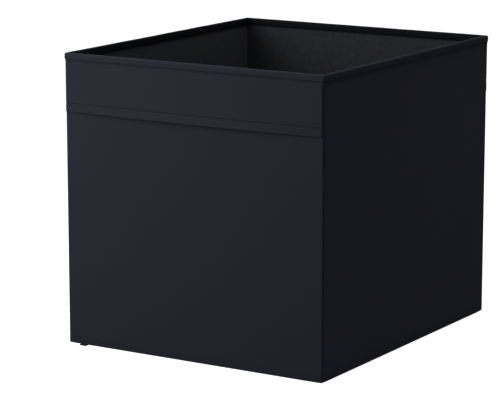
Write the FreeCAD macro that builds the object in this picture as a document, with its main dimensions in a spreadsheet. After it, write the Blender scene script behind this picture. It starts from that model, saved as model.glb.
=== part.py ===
import FreeCAD, Part
import math
import os

import Sketcher

# Open fabric storage box that folds flat. Millimetres, +X right, +Y to the back, +Z up.
# The origin is the middle of the footprint on the surface that the box stands on.
# Each wall is a stiff board between an outer cover and a lining, with a tape bound over its top.
# The side walls and the bottom are made in halves, because they crease at mid depth to fold.

DRIVING_SIZES = [
    ("body_width", 330.0, "outer width over the cover, left to right"),
    ("body_depth", 380.0, "outer depth over the cover, front to back"),
    ("body_height", 330.0, "height to the top of the binding tape"),
    ("cover_thickness", 0.5, "outer woven cloth"),
    ("board_thickness", 2.0, "stiffening board in a wall"),
    ("lining_thickness", 0.5, "non-woven lining"),
    ("binding_thickness", 1.2, "folded tape over the top edge"),
    ("binding_height", 9.0, "how far the tape reaches down each face"),
    ("thread_width", 0.5, "height of a row of stitches"),
    ("thread_proud", 0.3, "how far a row of stitches stands out"),
    ("thread_inset", 1.0, "row of stitches above the tape's lower edge"),
    ("thread_corner_gap", 4.0, "inner row of stitches kept off the corners"),
    ("hinge_gap", 0.3, "clearance between pieces that turn against each other"),
    ("fold_limit", 57.0, "degrees each side half turns before the two creases meet"),
    ("handle_drop", 56.2, "handle band, from its top seam to its free edge"),
    ("hem_height", 9.5, "folded hem along the band's free edge"),
    ("handle_thickness", 1.0, "doubled cloth of the band"),
    ("hem_thickness", 1.4, "band with its hem folded in"),
    ("stitch_bow", 3.3, "how far the band bows out at its hem seam, mid width"),
    ("edge_bow", 5.3, "how far the band bows out at its free edge, mid width"),
    ("lip_reach", 25.0, "flap from a side wall in over the bottom"),
    ("lip_thickness", 0.8, "cloth of the flap"),
    ("lip_rise", 12.0, "part of the flap sewn to the lining"),
    ("lip_corner_gap", 22.0, "flap kept back from the corner fold"),
    ("lip_crease_gap", 2.0, "flap kept back from the crease"),
    ("lip_crease_slope", 18.0, "flap's end drawn back towards its tip, at the crease"),
    ("tape_width", 12.0, "hook and loop tape"),
    ("tape_length", 90.0, "hook and loop tape"),
    ("tape_start", 25.0, "tape from the crease"),
    ("tape_inset", 3.0, "tape from the flap's tip"),
    ("hook_thickness", 0.7, "hook tape on the bottom"),
    ("loop_thickness", 0.5, "loop tape under the flap"),
    ("tab_width", 9.0, "end of seam tape at the front's lower edge"),
    ("tab_reach", 5.0, "how far that end lies out in front"),
    ("tab_thickness", 0.8, "thickness of that end"),
    ("tab_offset", 21.5, "from the left side to the middle of that end"),
]

doc = FreeCAD.newDocument("StorageBox")
sizes = doc.addObject("Spreadsheet::Sheet", "Sizes")
for row, (alias, amount, meaning) in enumerate(DRIVING_SIZES, start=1):
    sizes.set(f"A{row}", meaning)
    sizes.set(f"B{row}", str(amount))
    sizes.setAlias(f"B{row}", alias)
doc.recompute()

# Expressions on the sheet that several pieces share. Reaches are measured out from the middle.
CUT_PAST = "1"
COVER = "Sizes.cover_thickness"
LINING = "Sizes.lining_thickness"
BINDING = "Sizes.binding_thickness"
HINGE_GAP = "Sizes.hinge_gap"
CREASE_GAP = "Sizes.hinge_gap / 2"
WALL = "(Sizes.cover_thickness + Sizes.board_thickness + Sizes.lining_thickness)"
OUTER_X = "Sizes.body_width / 2"
OUTER_Y = "Sizes.body_depth / 2"
TOP = "Sizes.body_height"
WALL_TOP = f"({TOP} - {BINDING})"
BINDING_FOOT = f"({TOP} - Sizes.binding_height)"
# The corner folds turn on the line where the inner faces of the binding meet.
CORNER_X = f"({OUTER_X} - {WALL} - {BINDING})"
CORNER_Y = f"({OUTER_Y} - {WALL} - {BINDING})"
# The bottom is as thick as wall and binding together, so that it folds in step with the sides.
BASE_THICKNESS = f"({WALL} + {BINDING})"
# A turning side half leans over the bottom's edge, so the bottom is that much narrower.
FOLD = "(Sizes.fold_limit * 1deg)"
BASE_X = f"({CORNER_X} - ({BASE_THICKNESS} - {BINDING}) / cos({FOLD}) - {HINGE_GAP})"
# What stands out of a side wall is cut back here, because the outer faces meet at the crease.
CREASE_RELIEF = f"((({BINDING}) + Sizes.thread_proud) * tan({FOLD}) + {HINGE_GAP})"
LIP_FOOT = f"({BASE_THICKNESS} + Sizes.hook_thickness + {HINGE_GAP} + Sizes.loop_thickness)"
LIP_TIP_X = f"({OUTER_X} - {WALL} - Sizes.lip_reach)"
HANDLE_TOP = f"({BINDING_FOOT} - {HINGE_GAP})"
HANDLE_FOOT = f"({HANDLE_TOP} - Sizes.handle_drop)"
HEM_SEAM = f"({HANDLE_FOOT} + Sizes.hem_height)"

pieces = {}


def number(expression):
    result = sizes.evalExpression(str(expression))
    return float(getattr(result, "Value", result))


def plus(first, second):
    return f"({first}) + ({second})"


def minus(first, second):
    return f"({first}) - ({second})"


def across(reach):
    return f"-({reach})", f"({reach})"


def toward(sign, low, high):
    return (f"({low})", f"({high})") if sign > 0 else (f"-({high})", f"-({low})")


def keep(node, solid):
    solid.Label = node
    pieces[node] = solid
    return solid


def block(name, x_span, y_span, z_span):
    solid = doc.addObject("Part::Box", name)
    spans = zip(("Length", "Width", "Height"), "xyz", (x_span, y_span, z_span))
    for side, axis, (low, high) in spans:
        solid.setExpression(side, minus(high, low))
        solid.setExpression(f"Placement.Base.{axis}", low)
    return solid


def cut(name, base, *tools):
    for index, tool in enumerate(tools, start=1):
        step = doc.addObject("Part::Cut", name if index == len(tools) else f"{name}_step_{index}")
        step.Base = base
        step.Tool = tool
        base = step
    return base


def group(name, *solids):
    together = doc.addObject("Part::Compound", name)
    together.Links = list(solids)
    return together


def sketch_at(body, name, height):
    sketch = body.newObject("Sketcher::SketchObject", name)
    plane = next(item for item in body.Origin.OriginFeatures if item.Role == "XY_Plane")
    sketch.AttachmentSupport = [(plane, "")]
    sketch.MapMode = "FlatFace"
    sketch.setExpression("AttachmentOffset.Base.z", height)
    return sketch


def pin_point(sketch, curve, end, x, y):
    for direction, expression in (("DistanceX", x), ("DistanceY", y)):
        rule = Sketcher.Constraint(direction, -1, 1, curve, end, number(expression))
        index = sketch.addConstraint(rule)
        sketch.setExpression(f"Constraints[{index}]", expression)


def pad_polygon(body, name, corners, height, thickness):
    sketch = sketch_at(body, f"{name}_outline", height)
    points = [FreeCAD.Vector(number(x), number(y), 0) for x, y in corners]
    count = len(points)
    for index, point in enumerate(points):
        sketch.addGeometry(Part.LineSegment(point, points[(index + 1) % count]), False)
    for index, (x, y) in enumerate(corners):
        sketch.addConstraint(Sketcher.Constraint("Coincident", index, 2, (index + 1) % count, 1))
        pin_point(sketch, index, 1, x, y)
    pad = body.newObject("PartDesign::Pad", f"{name}_pad")
    pad.Profile = sketch
    pad.setExpression("Length", thickness)
    return pad


def strip_sketch(body, name, height, sign, inner, thickness, bow):
    # A cloth strip seen from above: two like curves, drawn from side seam to side seam.
    sketch = sketch_at(body, name, height)
    half = number(OUTER_X)
    rise = number(bow)
    faces = [plus(inner, thickness), inner]
    for face in faces:
        end_y = sign * number(face)
        if rise == 0:
            start = FreeCAD.Vector(sign * half, end_y, 0)
            sketch.addGeometry(Part.LineSegment(start, FreeCAD.Vector(-sign * half, end_y, 0)), False)
            continue
        radius = (half ** 2 + rise ** 2) / (2 * rise)
        centre = FreeCAD.Vector(0, end_y + sign * (rise - radius), 0)
        swing = math.asin(half / radius)
        middle = sign * math.pi / 2
        circle = Part.Circle(centre, FreeCAD.Vector(0, 0, 1), radius)
        sketch.addGeometry(Part.ArcOfCircle(circle, middle - swing, middle + swing), False)
    for end, x_sign in ((1, sign), (2, -sign)):
        x = f"{x_sign} * {OUTER_X}"
        ends = [FreeCAD.Vector(number(x), sign * number(face), 0) for face in faces]
        side = sketch.addGeometry(Part.LineSegment(*ends), False)
        sketch.addConstraint(Sketcher.Constraint("Coincident", 0, end, side, 1))
        sketch.addConstraint(Sketcher.Constraint("Coincident", 1, end, side, 2))
        for curve, face in enumerate(faces):
            pin_point(sketch, curve, end, x, f"{sign} * ({face})")
    if rise != 0:
        for curve in (0, 1):
            index = sketch.addConstraint(Sketcher.Constraint("Radius", curve, radius))
            bulge = f"(({OUTER_X}) ^ 2 + ({bow}) ^ 2) / (2 * ({bow}))"
            sketch.setExpression(f"Constraints[{index}]", bulge)
    return sketch


def end_wall(end, sign):
    inside_y = minus(OUTER_Y, WALL)
    board_outer = minus(OUTER_Y, COVER)
    board_inner = plus(inside_y, LINING)
    board_x = across(minus(OUTER_X, COVER))
    wall_z = (COVER, WALL_TOP)

    keep(f"{end}_board", block(f"{end}_board", board_x, toward(sign, board_inner, board_outer), wall_z))
    keep(f"{end}_lining", block(f"{end}_lining", board_x, toward(sign, inside_y, board_inner), wall_z))

    # The cover turns in under the board and round its two ends, as far as the corner folds.
    sheet = block(f"{end}_cover_block", across(OUTER_X), toward(sign, CORNER_Y, OUTER_Y),
                  ("0", WALL_TOP))
    hollow = block(f"{end}_cover_hollow", board_x,
                   toward(sign, minus(CORNER_Y, CUT_PAST), board_outer),
                   (COVER, plus(TOP, CUT_PAST)))
    cover = keep(f"{end}_cover", cut(f"{end}_cover", sheet, hollow))

    tape = block(f"{end}_binding_block", across(plus(OUTER_X, BINDING)),
                 toward(sign, CORNER_Y, plus(OUTER_Y, BINDING)), (BINDING_FOOT, TOP))
    slot = block(f"{end}_binding_slot", across(OUTER_X), toward(sign, inside_y, OUTER_Y),
                 (minus(BINDING_FOOT, CUT_PAST), WALL_TOP))
    keep(f"{end}_binding", cut(f"{end}_binding", tape, slot, cover))

    row_z = (plus(BINDING_FOOT, "Sizes.thread_inset"),
             plus(BINDING_FOOT, "Sizes.thread_inset + Sizes.thread_width"))
    outer_face = plus(OUTER_Y, BINDING)
    outer_row = block(f"{end}_outer_row", across(OUTER_X),
                      toward(sign, outer_face, plus(outer_face, "Sizes.thread_proud")), row_z)
    inner_row = block(f"{end}_inner_row", across(minus(CORNER_X, "Sizes.thread_corner_gap")),
                      toward(sign, minus(CORNER_Y, "Sizes.thread_proud"), CORNER_Y), row_z)
    keep(f"{end}_binding_thread", group(f"{end}_binding_thread", outer_row, inner_row))


def side_half(side, x_sign, end, y_sign):
    name = f"{side}_{end}"
    inside_x = minus(OUTER_X, WALL)
    board_outer = minus(OUTER_X, COVER)
    board_inner = plus(inside_x, LINING)
    corner_end = minus(CORNER_Y, HINGE_GAP)
    half_y = toward(y_sign, CREASE_GAP, corner_end)
    past_y = toward(y_sign, minus(CREASE_GAP, CUT_PAST), plus(corner_end, CUT_PAST))
    wall_z = (COVER, WALL_TOP)

    keep(f"{name}_board",
         block(f"{name}_board", toward(x_sign, board_inner, board_outer), half_y, wall_z))
    keep(f"{name}_lining",
         block(f"{name}_lining", toward(x_sign, inside_x, board_inner), half_y, wall_z))

    sheet = block(f"{name}_cover_block", toward(x_sign, inside_x, OUTER_X), half_y, ("0", WALL_TOP))
    hollow = block(f"{name}_cover_hollow", toward(x_sign, minus(inside_x, CUT_PAST), board_outer),
                   past_y, (COVER, plus(TOP, CUT_PAST)))
    keep(f"{name}_cover", cut(f"{name}_cover", sheet, hollow))

    outer_face = plus(OUTER_X, BINDING)
    tape = block(f"{name}_binding_block", toward(x_sign, CORNER_X, outer_face), half_y,
                 (BINDING_FOOT, TOP))
    slot = block(f"{name}_binding_slot", toward(x_sign, inside_x, OUTER_X), past_y,
                 (minus(BINDING_FOOT, CUT_PAST), WALL_TOP))
    relief = block(f"{name}_binding_relief", toward(x_sign, OUTER_X, plus(outer_face, CUT_PAST)),
                   toward(y_sign, minus(CREASE_GAP, CUT_PAST), CREASE_RELIEF),
                   (minus(BINDING_FOOT, CUT_PAST), plus(TOP, CUT_PAST)))
    keep(f"{name}_binding", cut(f"{name}_binding", tape, slot, relief))

    row_z = (plus(BINDING_FOOT, "Sizes.thread_inset"),
             plus(BINDING_FOOT, "Sizes.thread_inset + Sizes.thread_width"))
    outer_row = block(f"{name}_outer_row",
                      toward(x_sign, outer_face, plus(outer_face, "Sizes.thread_proud")),
                      toward(y_sign, CREASE_RELIEF, corner_end), row_z)
    inner_row = block(f"{name}_inner_row",
                      toward(x_sign, minus(CORNER_X, "Sizes.thread_proud"), CORNER_X),
                      toward(y_sign, "Sizes.thread_proud", minus(CORNER_Y, "Sizes.thread_corner_gap")),
                      row_z)
    keep(f"{name}_binding_thread", group(f"{name}_binding_thread", outer_row, inner_row))


def bottom_lip(side, x_sign, end, y_sign):
    # The flap's ends slope, so that it clears the end wall and the other side's flap when folded.
    name = f"{side}_{end}_lip"
    inside_x = minus(OUTER_X, WALL)
    crease_end = "Sizes.lip_crease_gap"
    corner_end = minus(CORNER_Y, "Sizes.lip_corner_gap")
    tip_crease = plus(crease_end, "Sizes.lip_crease_slope")
    tip_corner = minus(corner_end, f"Sizes.lip_reach * tan({FOLD})")

    def corner(x, y):
        return f"{x_sign} * ({x})", f"{y_sign} * ({y})"

    flap = [corner(inside_x, crease_end), corner(inside_x, corner_end),
            corner(LIP_TIP_X, tip_corner), corner(LIP_TIP_X, tip_crease)]
    sewn_x = minus(inside_x, "Sizes.lip_thickness")
    sewn = [corner(inside_x, crease_end), corner(inside_x, corner_end),
            corner(sewn_x, corner_end), corner(sewn_x, crease_end)]
    body = doc.addObject("PartDesign::Body", name)
    pad_polygon(body, f"{name}_flap", flap, LIP_FOOT, "Sizes.lip_thickness")
    pad_polygon(body, f"{name}_sewn", sewn, LIP_FOOT, "Sizes.lip_rise")
    keep(name, body)


def fastening_tape(node, x_sign, y_sign, z_span):
    inner_x = plus(LIP_TIP_X, "Sizes.tape_inset")
    keep(node, block(node, toward(x_sign, inner_x, plus(inner_x, "Sizes.tape_width")),
                     toward(y_sign, "Sizes.tape_start", "Sizes.tape_start + Sizes.tape_length"),
                     z_span))


def bottom_half(end, sign):
    name = f"bottom_{end}"
    hinge_end = minus(CORNER_Y, HINGE_GAP)
    inner_x = across(minus(BASE_X, COVER))
    inner_y = toward(sign, plus(CREASE_GAP, COVER), minus(hinge_end, COVER))
    board_top = minus(BASE_THICKNESS, LINING)

    tray = block(f"{name}_cover_block", across(BASE_X), toward(sign, CREASE_GAP, hinge_end),
                 ("0", BASE_THICKNESS))
    hollow = block(f"{name}_cover_hollow", inner_x, inner_y, (COVER, plus(TOP, CUT_PAST)))
    keep(f"{name}_cover", cut(f"{name}_cover", tray, hollow))
    keep(f"{name}_board", block(f"{name}_board", inner_x, inner_y, (COVER, board_top)))
    keep(f"{name}_lining", block(f"{name}_lining", inner_x, inner_y, (board_top, BASE_THICKNESS)))


def handle(end, sign):
    # The band is sewn in at its top and both ends, and bows out along its free edge.
    body = doc.addObject("PartDesign::Body", f"{end}_handle")
    top = strip_sketch(body, f"{end}_handle_top", HANDLE_TOP, sign, plus(OUTER_Y, HINGE_GAP),
                       "Sizes.handle_thickness", "0")
    seam = strip_sketch(body, f"{end}_handle_seam", HEM_SEAM, sign, plus(OUTER_Y, HINGE_GAP),
                        "Sizes.handle_thickness", "Sizes.stitch_bow")
    foot = strip_sketch(body, f"{end}_handle_foot", HANDLE_FOOT, sign, plus(OUTER_Y, HINGE_GAP),
                        "Sizes.hem_thickness", "Sizes.edge_bow")
    loft = body.newObject("PartDesign::AdditiveLoft", f"{end}_handle_loft")
    loft.Profile = top
    loft.Sections = [seam, foot]
    loft.Ruled = True
    keep(f"{end}_handle", body)

    thread = doc.addObject("PartDesign::Body", f"{end}_handle_thread")
    outer_face = plus(OUTER_Y, f"{HINGE_GAP} + Sizes.handle_thickness")
    row = strip_sketch(thread, f"{end}_handle_row", HEM_SEAM, sign, outer_face,
                       "Sizes.thread_proud", "Sizes.stitch_bow")
    pad = thread.newObject("PartDesign::Pad", f"{end}_handle_row_pad")
    pad.Profile = row
    pad.setExpression("Length", "Sizes.thread_width")
    keep(f"{end}_handle_thread", thread)


ENDS = (("front", -1), ("rear", 1))
SIDES = (("left", -1), ("right", 1))

for end, y_sign in ENDS:
    end_wall(end, y_sign)
    handle(end, y_sign)
    bottom_half(end, y_sign)
    for side, x_sign in SIDES:
        side_half(side, x_sign, end, y_sign)
        bottom_lip(side, x_sign, end, y_sign)
        fastening_tape(f"{side}_{end}_loop_tape", x_sign, y_sign,
                       (minus(LIP_FOOT, "Sizes.loop_thickness"), LIP_FOOT))
        fastening_tape(f"bottom_{end}_{side}_hook_tape", x_sign, y_sign,
                       (BASE_THICKNESS, plus(BASE_THICKNESS, "Sizes.hook_thickness")))

tab_middle = minus(OUTER_X, "Sizes.tab_offset")
tab_x = toward(-1, minus(tab_middle, "Sizes.tab_width / 2"), plus(tab_middle, "Sizes.tab_width / 2"))
keep("seam_tab", block("seam_tab", tab_x, toward(-1, OUTER_Y, plus(OUTER_Y, "Sizes.tab_reach")),
                       ("0", "Sizes.tab_thickness")))

doc.recompute()
for item in doc.Objects:
    if {"Invalid", "Error"} & set(item.State):
        raise RuntimeError(f"{item.Name} did not build: {item.State}")
for node, solid in pieces.items():
    if solid.Shape.isNull() or not solid.Shape.isValid():
        raise RuntimeError(f"{node} has no valid shape")

os.makedirs("parts", exist_ok=True)
for node, solid in sorted(pieces.items()):
    solid.Shape.exportStep(f"parts/{node}.step")
    spread = solid.Shape.BoundBox
    print(f"{node}: {len(solid.Shape.Solids)} solid, {solid.Shape.Volume:.0f} mm3, "
          f"{spread.XLength:.1f} x {spread.YLength:.1f} x {spread.ZLength:.1f} mm")
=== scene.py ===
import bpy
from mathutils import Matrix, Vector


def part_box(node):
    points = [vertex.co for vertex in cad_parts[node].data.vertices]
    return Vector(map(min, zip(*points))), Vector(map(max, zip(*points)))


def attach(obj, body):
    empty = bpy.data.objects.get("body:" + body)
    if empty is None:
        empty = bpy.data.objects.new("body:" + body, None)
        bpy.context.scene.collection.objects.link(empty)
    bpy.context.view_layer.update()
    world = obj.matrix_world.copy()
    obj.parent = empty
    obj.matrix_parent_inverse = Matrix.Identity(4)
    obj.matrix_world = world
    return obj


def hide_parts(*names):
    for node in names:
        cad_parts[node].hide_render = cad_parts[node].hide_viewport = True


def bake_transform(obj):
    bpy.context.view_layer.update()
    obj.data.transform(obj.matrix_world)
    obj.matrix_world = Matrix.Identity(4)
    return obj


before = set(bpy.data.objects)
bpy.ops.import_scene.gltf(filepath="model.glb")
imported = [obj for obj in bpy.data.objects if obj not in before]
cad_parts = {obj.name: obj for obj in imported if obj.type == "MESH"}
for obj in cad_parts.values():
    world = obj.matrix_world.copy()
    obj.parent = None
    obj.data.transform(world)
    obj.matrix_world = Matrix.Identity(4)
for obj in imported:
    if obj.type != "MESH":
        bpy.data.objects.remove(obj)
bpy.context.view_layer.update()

import math

import bmesh
import bpy
from mathutils import Matrix, Vector, noise

scene = bpy.context.scene
mm = 0.001
touch = 0.01  # places closer than this, in mm, are taken as one
axes = {"x": Vector((1, 0, 0)), "y": Vector((0, 1, 0)), "z": Vector((0, 0, 1))}
ends = {"front": -1, "rear": 1}
sides = {"left": -1, "right": 1}
edgeSpec = {"sharp": math.radians(50), "rim": 1.0}
print("frame loaded:", len(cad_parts), "nodes")


# Mesh helpers work in millimetres; makePiece turns the mesh to metres.

def nodeBox(*names):
    corners = [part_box(name) for name in names]
    low = Vector([min(pair[0][i] for pair in corners) / mm for i in range(3)])
    high = Vector([max(pair[1][i] for pair in corners) / mm for i in range(3)])
    return low, high


def outward(low, high, out):
    # the outer and the inner of two places
    return (low, high) if out < 0 else (high, low)


def camelCase(words):
    first, *others = words.split("_")
    return first + "".join(word.capitalize() for word in others)


def snakeCase(name):
    return "".join("_" + letter.lower() if letter.isupper() else letter for letter in name)


def newBox(low, high, bm=None):
    bm = bm or bmesh.new()
    low, high = Vector(low), Vector(high)
    made = bmesh.ops.create_cube(bm, size=1)["verts"]
    bmesh.ops.scale(bm, vec=high - low, verts=made)
    bmesh.ops.translate(bm, vec=(low + high) / 2, verts=made)
    return bm


def dropFaces(bm, axis, way):
    # opens the box on the side that faces this way
    facing = [face for face in bm.faces if face.normal.dot(axes[axis]) * way > 0.99]
    bmesh.ops.delete(bm, geom=facing, context="FACES")


def edgesAt(bm, **places):
    # edges that lie at these coordinates from end to end
    picked = list(bm.edges)
    for axis, place in places.items():
        index = "xyz".index(axis)
        picked = [edge for edge in picked
                  if all(abs(vert.co[index] - place) < touch for vert in edge.verts)]
    return picked


def edgesAlong(bm, index):
    # a box's edges that run along this axis
    return [edge for edge in bm.edges if abs(edge.verts[0].co[index] - edge.verts[1].co[index]) > touch]


def sharpEdges(bm, angle):
    # edges between two faces that turn by more than this
    return [edge for edge in bm.edges if len(edge.link_faces) == 2 and edge.calc_face_angle(0) > angle]


def roundEdges(bm, edges, radius, segments=3):
    bmesh.ops.bevel(bm, geom=edges, offset=radius, offset_type="OFFSET", affect="EDGES", segments=segments,
                    profile=0.5, material=-1, clamp_overlap=True)


def cutAt(bm, axis, places):
    for place in places:
        bmesh.ops.bisect_plane(bm, geom=bm.verts[:] + bm.edges[:] + bm.faces[:], dist=0.001,
                               plane_co=axes[axis] * place, plane_no=axes[axis])


def steps(low, high, pitch, edge=0):
    # even cuts, with this much left free at both ends
    low, high = low + edge, high - edge
    count = max(1, round((high - low) / pitch))
    return [low + (high - low) * i / count for i in range(1, count)]


def insetFrom(low, high, insets):
    # places this far in from both ends
    return [place for inset in insets for place in (low + inset, high - inset)]


def outerLines(bm, low, high, face, level):
    # the edges round the outer face that lead to this level
    lines = edgesAt(bm, y=face, z=level)
    for edgeX in (low.x, high.x):
        lines += edgesAt(bm, x=edgeX, y=face) + edgesAt(bm, x=edgeX, z=level)
    return lines


rippleSpec = {"fade": 30, "seedStep": 37.0, "fineShare": 0.4, "fineScale": 2.7}


def ripple(bm, axis, amount, size, seed, place=None):
    # slight waves of cloth on a board, dying out towards the sewn edges
    index = "xyz".index(axis)
    others = [i for i in range(3) if i != index]
    verts = [vert for vert in bm.verts if place is None or abs(vert.co[index] - place) < touch]
    low = [min(vert.co[i] for vert in verts) for i in others]
    high = [max(vert.co[i] for vert in verts) for i in others]
    for vert in verts:
        share = 1
        for k, i in enumerate(others):
            inset = min(vert.co[i] - low[k], high[k] - vert.co[i])
            share *= max(0, min(1, inset / rippleSpec["fade"]))
        spot = Vector((vert.co[others[0]], vert.co[others[1]], seed * rippleSpec["seedStep"])) / size
        wave = noise.noise(spot) + rippleSpec["fineShare"] * noise.noise(spot * rippleSpec["fineScale"])
        vert.co[index] += amount * share * wave


def clothUv(bm):
    # the weave lies on each face in real size, in metres
    layer = bm.loops.layers.uv.new("cloth")
    for face in bm.faces:
        normal = [abs(value) for value in face.normal]
        widest = normal.index(max(normal))
        for loop in face.loops:
            co = loop.vert.co * mm
            loop[layer].uv = ((co.y, co.z), (co.x, co.z), (co.x, co.y))[widest]


def addObject(name, data):
    made = bpy.data.objects.new(name, data)
    scene.collection.objects.link(made)
    return made


def makePiece(words, bm, material, wall=0, uv=True, slotName=None):
    name = camelCase(words)
    if uv:
        clothUv(bm)
    bmesh.ops.scale(bm, vec=(mm, mm, mm), verts=bm.verts)
    bm.normal_update()
    for face in bm.faces:
        face.smooth = True
    for edge in [edge for edge in bm.edges if edge.is_boundary] + sharpEdges(bm, edgeSpec["sharp"]):
        edge.smooth = False
    mesh = bpy.data.meshes.new(name)
    bm.to_mesh(mesh)
    bm.free()
    mesh.materials.append(material)
    piece = addObject(name, mesh)
    if wall:
        solid = piece.modifiers.new("clothThickness", "SOLIDIFY")
        solid.thickness = wall * mm
        solid.offset = -1
        solid.use_even_offset = True
    slotName or snakeCase(material.name)
    return piece


# Materials

noSheen = {"sheen": 0.0, "sheenRoughness": 0.5, "sheenTint": (1, 1, 1)}


def clearTree(owner):
    owner.use_nodes = True
    owner.node_tree.nodes.clear()
    return owner.node_tree


def addNode(tree, kind, inputs=None, **settings):
    node = tree.nodes.new(kind)
    for key, value in settings.items():
        setattr(node, key, value)
    for key, value in (inputs or {}).items():
        if isinstance(value, bpy.types.NodeSocket):
            tree.links.new(value, node.inputs[key])
        else:
            node.inputs[key].default_value = value
    return node


def calc(tree, operation, first, second=0.0):
    return addNode(tree, "ShaderNodeMath", {0: first, 1: second}, operation=operation).outputs[0]


def times(tree, first, second):
    return calc(tree, "MULTIPLY", first, second)


def plus(tree, first, second):
    return calc(tree, "ADD", first, second)


def oneMinus(tree, value):
    return calc(tree, "SUBTRACT", 1.0, value)


def humps(tree, value):
    # one hump per unit
    return calc(tree, "ABSOLUTE", calc(tree, "SINE", times(tree, value, math.pi)))


def blendColours(tree, share, first, second):
    node = addNode(tree, "ShaderNodeMix", {0: share}, data_type="RGBA")
    for socket, value in ((node.inputs[6], first), (node.inputs[7], second)):
        if isinstance(value, bpy.types.NodeSocket):
            tree.links.new(value, socket)
        else:
            socket.default_value = (*value, 1)
    return node.outputs[2]


def startMaterial(name):
    material = bpy.data.materials.new(name)
    tree = clearTree(material)
    place = addNode(tree, "ShaderNodeUVMap", uv_map="cloth").outputs[0]
    return material, tree, place


def stretched(tree, place, scale):
    return addNode(tree, "ShaderNodeMapping", {"Vector": place, "Scale": (*scale, 1)}).outputs[0]


def blotches(tree, place, scale=1.0, detail=3.0):
    return addNode(tree, "ShaderNodeTexNoise",
                   {"Vector": place, "Scale": scale, "Detail": detail, "Roughness": 0.55}).outputs[0]


def cells(tree, place, perMetre, disorder):
    return addNode(tree, "ShaderNodeTexVoronoi",
                   {"Vector": place, "Scale": perMetre, "Randomness": disorder}).outputs[0]


def endMaterial(material, values, colour, height, roughness=None):
    tree = material.node_tree
    values = {**noSheen, **values}
    shader = addNode(tree, "ShaderNodeBsdfPrincipled", {
        "Base Color": colour,
        "Roughness": roughness or values["roughness"],
        "Specular IOR Level": values["gloss"],
        "Sheen Weight": values["sheen"],
        "Sheen Roughness": values["sheenRoughness"],
        "Sheen Tint": (*values["sheenTint"], 1),
    })
    bump = addNode(tree, "ShaderNodeBump",
                   {"Height": height, "Strength": values["bump"], "Distance": values["bumpDepth"]})
    tree.links.new(bump.outputs[0], shader.inputs["Normal"])
    addNode(tree, "ShaderNodeOutputMaterial", {"Surface": shader.outputs[0]})
    return material


def weaveMaterial(name, values):
    # plain weave: warp and weft pass over each other in turn, with painted shade in the hollows between them
    material, tree, place = startMaterial(name)
    threads = stretched(tree, place, [values["threadsPerMetre"]] * 2)
    split = addNode(tree, "ShaderNodeSeparateXYZ", {0: threads})
    u, v = split.outputs[0], split.outputs[1]
    square = plus(tree, calc(tree, "FLOOR", u), calc(tree, "FLOOR", v))
    parity = calc(tree, "MODULO", calc(tree, "ABSOLUTE", square), 2.0)
    over = times(tree, humps(tree, u), parity)
    under = times(tree, humps(tree, v), oneMinus(tree, parity))
    height = plus(tree, over, under)
    yarnAcross = blotches(tree, stretched(tree, place, values["yarnScale"]), detail=1.0)
    yarnAlong = blotches(tree, stretched(tree, place, values["yarnScale"][::-1]), detail=1.0)
    yarn = times(tree, plus(tree, yarnAcross, yarnAlong), 0.5)
    cloudy = blotches(tree, place, values["patchScale"])
    base = blendColours(tree, cloudy, values["dark"], values["light"])
    yarned = blendColours(tree, times(tree, yarn, values["yarnShare"]), base, values["yarn"])
    # painted shade: the colour darkens towards the gap colour where the threads dip
    gap = times(tree, oneMinus(tree, height), values["gapShade"])
    colour = blendColours(tree, gap, yarned, values["gap"])
    slub = plus(tree, height, times(tree, yarn, values["slub"]))
    smoothest = values["roughness"] - values["roughSpread"] / 2
    roughness = plus(tree, smoothest, times(tree, cloudy, values["roughSpread"]))
    return endMaterial(material, values, colour, slub, roughness)


def feltMaterial(name, values):
    # bonded fibres with fine pressed dots, with painted shade in the dents of the dots
    material, tree, place = startMaterial(name)
    fibres = blotches(tree, stretched(tree, place, values["fibreScale"]), detail=4.0)
    patches = blotches(tree, place, values["patchScale"], detail=4.0)
    wide = blotches(tree, place, values["wideScale"], detail=2.0)
    dots = cells(tree, place, values["dotsPerMetre"], values["disorder"])
    dent = calc(tree, "MINIMUM", times(tree, dots, values["dotSlope"]), 1.0)
    lowest, highest = values["patchRange"]
    spread = addNode(tree, "ShaderNodeMapRange", {"Value": patches, "From Min": lowest, "From Max": highest})
    patchPart = times(tree, spread.outputs[0], 1 - values["wideShare"])
    share = plus(tree, patchPart, times(tree, wide, values["wideShare"]))
    base = blendColours(tree, share, values["dark"], values["light"])
    mixed = blendColours(tree, times(tree, fibres, values["yarnShare"]), base, values["yarn"])
    # painted shade: the colour darkens towards the gap colour in the pressed dents
    gap = times(tree, oneMinus(tree, dent), values["gapShade"])
    colour = blendColours(tree, gap, mixed, values["gap"])
    height = plus(tree, dent, times(tree, fibres, values["fibreHeight"]))
    return endMaterial(material, values, colour, height)


def ribMaterial(name, values):
    # diagonal ribs of a woven tape, or the twist of a thread, with painted shade in the valleys between ribs
    material, tree, place = startMaterial(name)
    split = addNode(tree, "ShaderNodeSeparateXYZ", {0: place})
    parts = [times(tree, split.outputs[i], values["ribs"][i]) for i in range(2)]
    rib = humps(tree, plus(tree, *parts))
    cloudy = blotches(tree, place, values["patchScale"])
    base = blendColours(tree, cloudy, values["dark"], values["light"])
    # painted shade: the colour darkens towards the gap colour in the rib valleys
    colour = blendColours(tree, times(tree, oneMinus(tree, rib), 0.5), base, values["gap"])
    return endMaterial(material, values, colour, rib)


def boardMaterial(name, values):
    # pressed paper fibres, with faint flutes where the board is corrugated
    material, tree, place = startMaterial(name)
    fibres = blotches(tree, stretched(tree, place, values["fibreScale"]), detail=5.0)
    specks = blotches(tree, place, values["speckScale"], detail=2.0)
    split = addNode(tree, "ShaderNodeSeparateXYZ", {0: place})
    flute = calc(tree, "SINE", times(tree, split.outputs[0], values["flutesPerMetre"] * 2 * math.pi))
    base = blendColours(tree, fibres, values["dark"], values["light"])
    colour = blendColours(tree, times(tree, specks, values["speckShare"]), base, values["yarn"])
    height = plus(tree, fibres, times(tree, flute, values["fluteDepth"]))
    return endMaterial(material, values, colour, height)


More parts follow.
